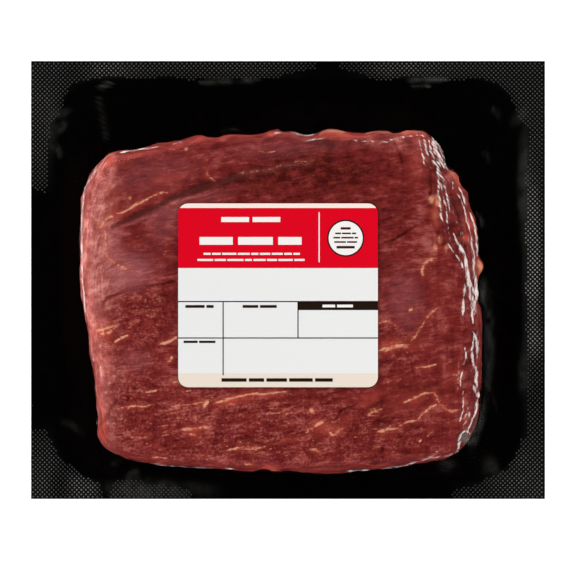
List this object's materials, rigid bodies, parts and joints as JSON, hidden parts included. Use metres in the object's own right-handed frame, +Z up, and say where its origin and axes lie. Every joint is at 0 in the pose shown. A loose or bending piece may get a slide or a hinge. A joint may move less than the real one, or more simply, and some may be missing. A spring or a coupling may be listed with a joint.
{
  "type": "vacuum-packed raw beef block",
  "caption": "Thick block of raw lean beef in a shallow black plastic pocket with a dotted flat rim, sealed under clear clinging film, with a plain price label stuck on top.",
  "frame": {"origin": "on the table under the middle of the pack, at the flat underside of the pocket", "axes": "+X along the pack's long side, towards the right when the label is read; +Y along the short side, towards the label's upper edge; +Z up, out of the label"},
  "size_m": [0.23, 0.196, 0.0477],
  "materials": {
    "black_web": "satin",
    "raw_beef": "satin",
    "clear_film": "gloss",
    "printed_label": "satin"
  },
  "bodies": {
    "root": {"backing_web": "black_web", "beef": "raw_beef", "top_film": "clear_film", "label": "printed_label"}
  },
  "joints": []
}
